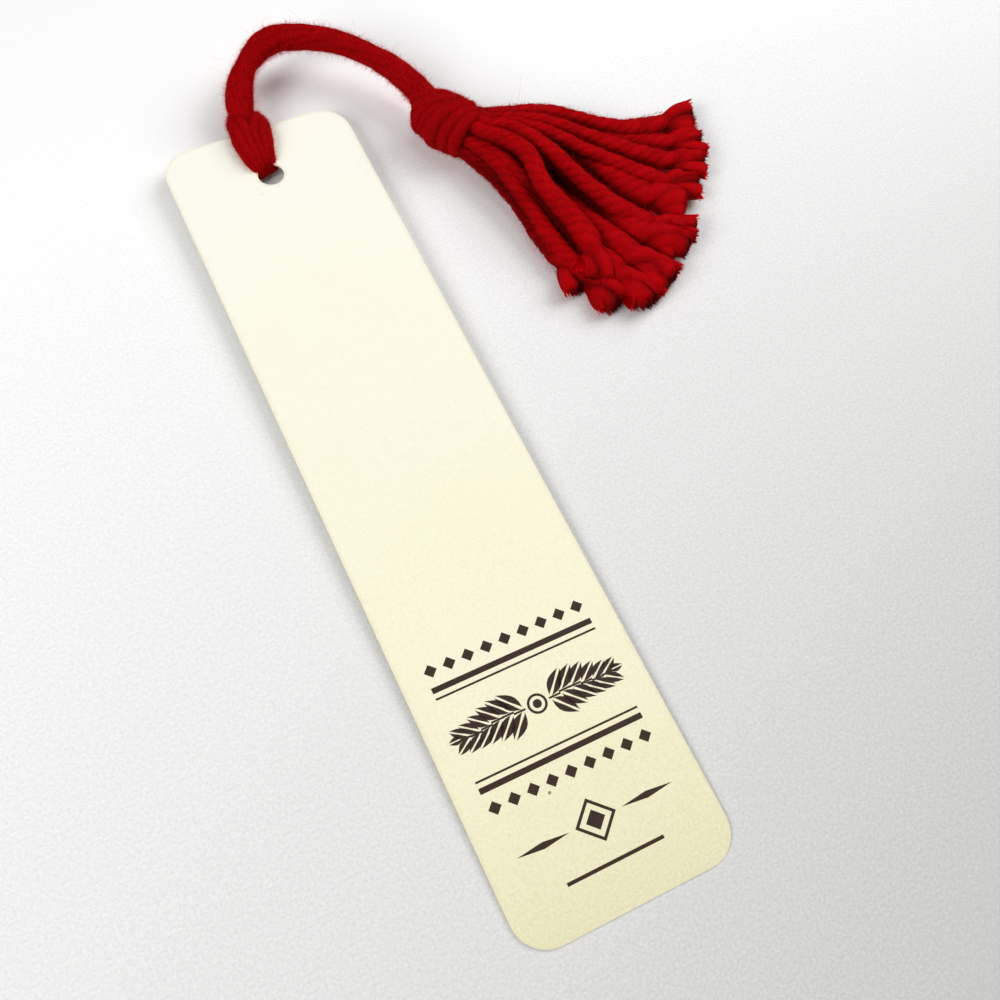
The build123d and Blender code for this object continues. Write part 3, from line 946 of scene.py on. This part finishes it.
class BOOKMARK_OT_tassel(bpy.types.Operator):
    """Lay the twelve loose strands of the tassel"""

    bl_idname = "bookmark.tassel"
    bl_label = "Tassel"

    FIRST_SEED, POINTS, LEAST_DETAIL = 100, 120, 8
    # Radius as a share of the full one: in the knot, and what is added along the strand
    IN_KNOT, FILLING_OUT = 0.6, [(0.14, 0.1, 0.4), (0.31, 0.45, 0.92)]
    # How far off other strands cast painted shade on a point, and how far up and down own and other strands
    # reach
    PILE_REACH, OWN_SIDES, OTHER_SIDES = 3.8 * MM, 0.7, 0.9
    # The upper strands take their painted shade over a shallower pile
    UPPER_STRANDS, UPPER_PILE = 5, 1.4 * MM
    FUZZ = [(60.0, 0.8 * MM, 1), (34.0, 1.4 * MM, 2), (2.5, 2.3 * MM, 5)]

    def execute(self, context):
        settings = context.scene.bookmark_yarn
        full = settings.strand_radius
        lines = []
        for route in STRAND_ROUTES:
            lines.append(line_through(route, max(self.LEAST_DETAIL, self.POINTS // (len(route) - 1))))
        spots = [(point, number) for number, line in enumerate(lines, start=1) for point in line.points]
        pile = KDTree(len(spots))
        for place, (spot, _) in enumerate(spots):
            pile.insert((spot.x, spot.y, 0.0), place)
        pile.balance()

        def pile_at(point, own):
            """Heights between which other strands, or a strand's own sides, hide a point of it, for its
            painted shade.
            """
            low, high = point.z - full * self.OWN_SIDES, point.z + full * self.OWN_SIDES
            for _, place, distance in pile.find_range((point.x, point.y, 0.0), self.PILE_REACH):
                spot, strand = spots[place]
                if strand != own:
                    low = min(low, spot.z - full * self.OTHER_SIDES + distance)
                    high = max(high, spot.z + full * self.OTHER_SIDES - distance)
            return low, high

        for number, (line, stout) in enumerate(zip(lines, STRAND_STOUTNESS), start=1):

            def radius_at(share, stout=stout):
                """Thin in the knot, filling out along the strand."""
                return full * stout * in_stages(share, self.IN_KNOT, self.FILLING_OUT)

            node = f"tassel_strand_{number:02d}"
            yarn = Yarn(f"yarn_strand_{number:02d}", settings, self.FIRST_SEED + number)
            # Painted shade where other strands lie over this one
            yarn.pile_at = lambda point, own=number: pile_at(point, own)
            if number <= self.UPPER_STRANDS:
                yarn.pile = self.UPPER_PILE
            laid = yarn.lay_up(line, radius_at, relief=0.58, opening=1.22 / stout)
            yarn.brush(line, laid, count=60, reach=0.65 * MM)
            yarn.fuzz(line, radius_at, self.FUZZ)
            piece = yarn.build(yarn_finish(), node)
            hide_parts(node)
            2.1 * full * max(1.0, stout)
            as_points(line.points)
        return {"FINISHED"}


class BOOKMARK_OT_cord(bpy.types.Operator):
    """Lay the free bundle between the hitch and the knot"""

    bl_idname = "bookmark.cord"
    bl_label = "Cord"

    # The bundle's yarns: their radius, and how far out and how many they are in each ring
    THIN, RING = 0.41, 0.6
    RINGS = [(RING, 12), (0.3, 3)]
    BUNDLE_LAY = 75 * MM
    WAVE, WAVE_LENGTH, SWAY, SWAY_LENGTH = 0.08, 4.1 * MM, 0.2, 6 * MM
    # Radius as a share of the full one: in the hitch, and what is added along the cord
    IN_HITCH, GATHERS = 0.62, [
        (0.34, 0.0, 0.1), (-0.27, 0.12, 0.22), (0.29, 0.24, 0.36), (-0.24, 0.38, 0.6), (0.2, 0.66, 0.92),
    ]
    FUZZ = [(60.0, 1.0 * MM, 1), (90.0, 1.9 * MM, 2), (9.0, 2.6 * MM, 5)]
    # How far from the cord's start its painted shade in the hitch fades out
    TUCK = (1.4 * MM, 3.6 * MM)

    def execute(self, context):
        settings = context.scene.bookmark_yarn
        full = settings.cord_radius
        yarn = Yarn("yarn_cord", settings, seed=37)
        yarn.crest = yarn.TIGHT
        line = line_through(CORD_ROUTE, detail=10)
        thin = self.THIN * full
        start = line.points[0]

        def tuck_shade_at(point):
            """Painted shade where the cord's start is hidden in the hitch."""
            depth = yarn.PILE * (1 - rise((point - start).length, *self.TUCK))
            return point.z - depth, point.z + depth

        def radius_at(share):
            """Gathered in the hitch and towards the knot."""
            return full * in_stages(share, self.IN_HITCH, self.GATHERS)

        def skin_at(share):
            return self.RING * radius_at(share) + thin

        yarn.pile_at = tuck_shade_at
        for ring, count in self.RINGS:
            for number in range(count):
                wave, drift = yarn.chance.uniform(0.0, TURN), yarn.chance.uniform(0.0, TURN)

                def place_at(along, ring=ring, turn=TURN * number / count, wave=wave, drift=drift):
                    swing = 1.0 + self.WAVE * math.sin(along / self.WAVE_LENGTH + wave)
                    turn = turn - TURN * along / self.BUNDLE_LAY
                    turn += self.SWAY * math.sin(along / self.SWAY_LENGTH + drift)
                    return radius_at(along / line.length) * ring * swing, turn

                yarn.lay_up(line.beside(place_at), lambda share: thin, relief=0.15, plies=2)
        yarn.fuzz(line, skin_at, self.FUZZ)
        piece = yarn.build(yarn_finish(), "cord")
        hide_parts("cord")
        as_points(line.points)
        return {"FINISHED"}


class BOOKMARK_OT_strays(bpy.types.Operator):
    """Let a few long fibres stray from the cord and the tassel"""

    bl_idname = "bookmark.strays"
    bl_label = "Stray fibres"

    def execute(self, context):
        settings = context.scene.bookmark_yarn
        yarn = Yarn("stray_fibres_cord", settings, seed=53)
        line = line_through(CORD_ROUTE, detail=13)
        yarn.stray(line, lambda share: settings.cord_radius, count=30, longest=7 * MM)
        yarn.build(yarn_finish(), "cord")
        yarn = Yarn("stray_fibres_tassel", settings, seed=59)
        for route in STRAND_ROUTES:
            line = line_through(route, detail=12)
            yarn.stray(line, lambda share: 0.8 * settings.strand_radius, count=3, longest=8 * MM)
        yarn.build(yarn_finish(), "knot")
        return {"FINISHED"}


class BOOKMARK_OT_stage(bpy.types.Operator):
    """Set the floor, the lamps and the camera"""

    bl_idname = "bookmark.stage"
    bl_label = "Stage"

    # Each lamp: its name, place, aim and side in metres, and the setting that holds its power
    LAMPS = [
        ("lamp_right", (0.644, 0.137, 0.58), (0.03, 0.04, 0.0), 0.6, "right_power"),
        ("lamp_overhead", (0.11, 0.09, 0.6), (0.05, 0.06, 0.0), 0.28, "overhead_power"),
        ("lamp_left", (-0.61, -0.159, 0.523), (0.03, 0.04, 0.0), 0.45, "left_power"),
    ]
    # The floor's painted light falloff: its share of the greyer colour at the origin, and what a millimetre
    # along x, y and both adds to it
    TONE, TONE_X, TONE_Y, TONE_XY = 0.335, 0.0016, -0.00435, -0.000015
    CAMERA_PLACE = (-40.62, -85.937, 187.611)
    CAMERA_AIM = (10.83, -10.83, 0.0)
    CAMERA_ROLL = 9.23

    def floor_material(self, settings):
        """A pale table, whiter behind the hitch and greyer beyond the card's foot, in painted light falloff.
        """
        shader = Shader("pale_floor")
        spot = shader.place()
        x, y = shader.plan(spot)
        grain = shader.noise(spot, scale=2.0)
        far = self.TONE + x * self.TONE_X + y * self.TONE_Y + x * y * self.TONE_XY
        far = (far + (grain - 0.5) * 0.8).share()
        colour = shader.mix(far, settings.floor_light, settings.floor_shade)
        return shader.surface({
            "Base Color": colour, "Roughness": 0.85 + grain * 0.1, "Specular IOR Level": 0.1,
        })

    def aimed(self, name, data, place, aim):
        """An object at a place that looks at its aim."""
        made = bpy.data.objects.new(name, data)
        made.location = place
        made.rotation_mode = "QUATERNION"
        made.rotation_quaternion = (Vector(aim) - Vector(place)).to_track_quat("-Z", "Y")
        bpy.context.scene.collection.objects.link(made)
        return made

    def execute(self, context):
        scene, settings = context.scene, context.scene.bookmark_stage
        shape = bmesh.new()
        bmesh.ops.create_grid(shape, x_segments=2, y_segments=2, size=2.0)
        mesh = finished_mesh("floor", shape)
        mesh.materials.append(self.floor_material(settings))
        floor = bpy.data.objects.new("floor", mesh)
        scene.collection.objects.link(floor)

        for name, place, aim, side, power in self.LAMPS:
            data = bpy.data.lights.new(name, "AREA")
            data.shape, data.size, data.size_y = "RECTANGLE", side, side
            data.energy = getattr(settings, power)
            self.aimed(name, data, place, aim)
        world = bpy.data.worlds.new("soft_room")
        world.use_nodes = True
        background = world.node_tree.nodes["Background"].inputs
        background["Color"].default_value = (1.0, 0.99, 0.98, 1.0)
        background["Strength"].default_value = settings.fill_level
        scene.world = world
        scene.view_settings.view_transform = "Standard"

        data = bpy.data.cameras.new("camera")
        data.lens, data.sensor_width = settings.lens, 36.0
        data.clip_start, data.clip_end = 0.005, 20.0
        place, aim = Vector(self.CAMERA_PLACE) * MM, Vector(self.CAMERA_AIM) * MM
        camera = self.aimed("camera", data, place, aim)
        roll = Quaternion((0.0, 0.0, 1.0), math.radians(self.CAMERA_ROLL))
        camera.rotation_quaternion = camera.rotation_quaternion @ roll
        scene.camera = camera
        return {"FINISHED"}


class VIEW3D_PT_bookmark(bpy.types.Panel):
    """The bookmark's pieces and settings"""

    bl_label = "Bookmark"
    bl_space_type = "VIEW_3D"
    bl_region_type = "UI"
    bl_category = "Bookmark"

    def draw(self, context):
        for operator in OPERATORS:
            self.layout.operator(operator.bl_idname)
        for group in (context.scene.bookmark_card, context.scene.bookmark_yarn, context.scene.bookmark_stage):
            box = self.layout.box()
            for name in group.__annotations__:
                box.prop(group, name)


OPERATORS = [
    BOOKMARK_OT_card, BOOKMARK_OT_ornament, BOOKMARK_OT_hitch, BOOKMARK_OT_knot,
    BOOKMARK_OT_tassel, BOOKMARK_OT_cord, BOOKMARK_OT_strays, BOOKMARK_OT_stage,
]
SETTINGS = {
    "bookmark_card": BookmarkCardSettings,
    "bookmark_yarn": BookmarkYarnSettings,
    "bookmark_stage": BookmarkStageSettings,
}


def register():
    for group in SETTINGS.values():
        bpy.utils.register_class(group)
    for name, group in SETTINGS.items():
        setattr(bpy.types.Scene, name, PointerProperty(type=group))
    for operator in OPERATORS:
        bpy.utils.register_class(operator)
    bpy.utils.register_class(VIEW3D_PT_bookmark)


def unregister():
    bpy.utils.unregister_class(VIEW3D_PT_bookmark)
    for operator in reversed(OPERATORS):
        bpy.utils.unregister_class(operator)
    for name, group in SETTINGS.items():
        delattr(bpy.types.Scene, name)
        bpy.utils.unregister_class(group)


def main():
    register()
    bpy.ops.bookmark.card()
    bpy.ops.bookmark.ornament()
    bpy.ops.bookmark.hitch()
    bpy.ops.bookmark.knot()
    bpy.ops.bookmark.tassel()
    bpy.ops.bookmark.cord()
    bpy.ops.bookmark.strays()
    bpy.ops.bookmark.stage()


if __name__ == "__main__":
    main()
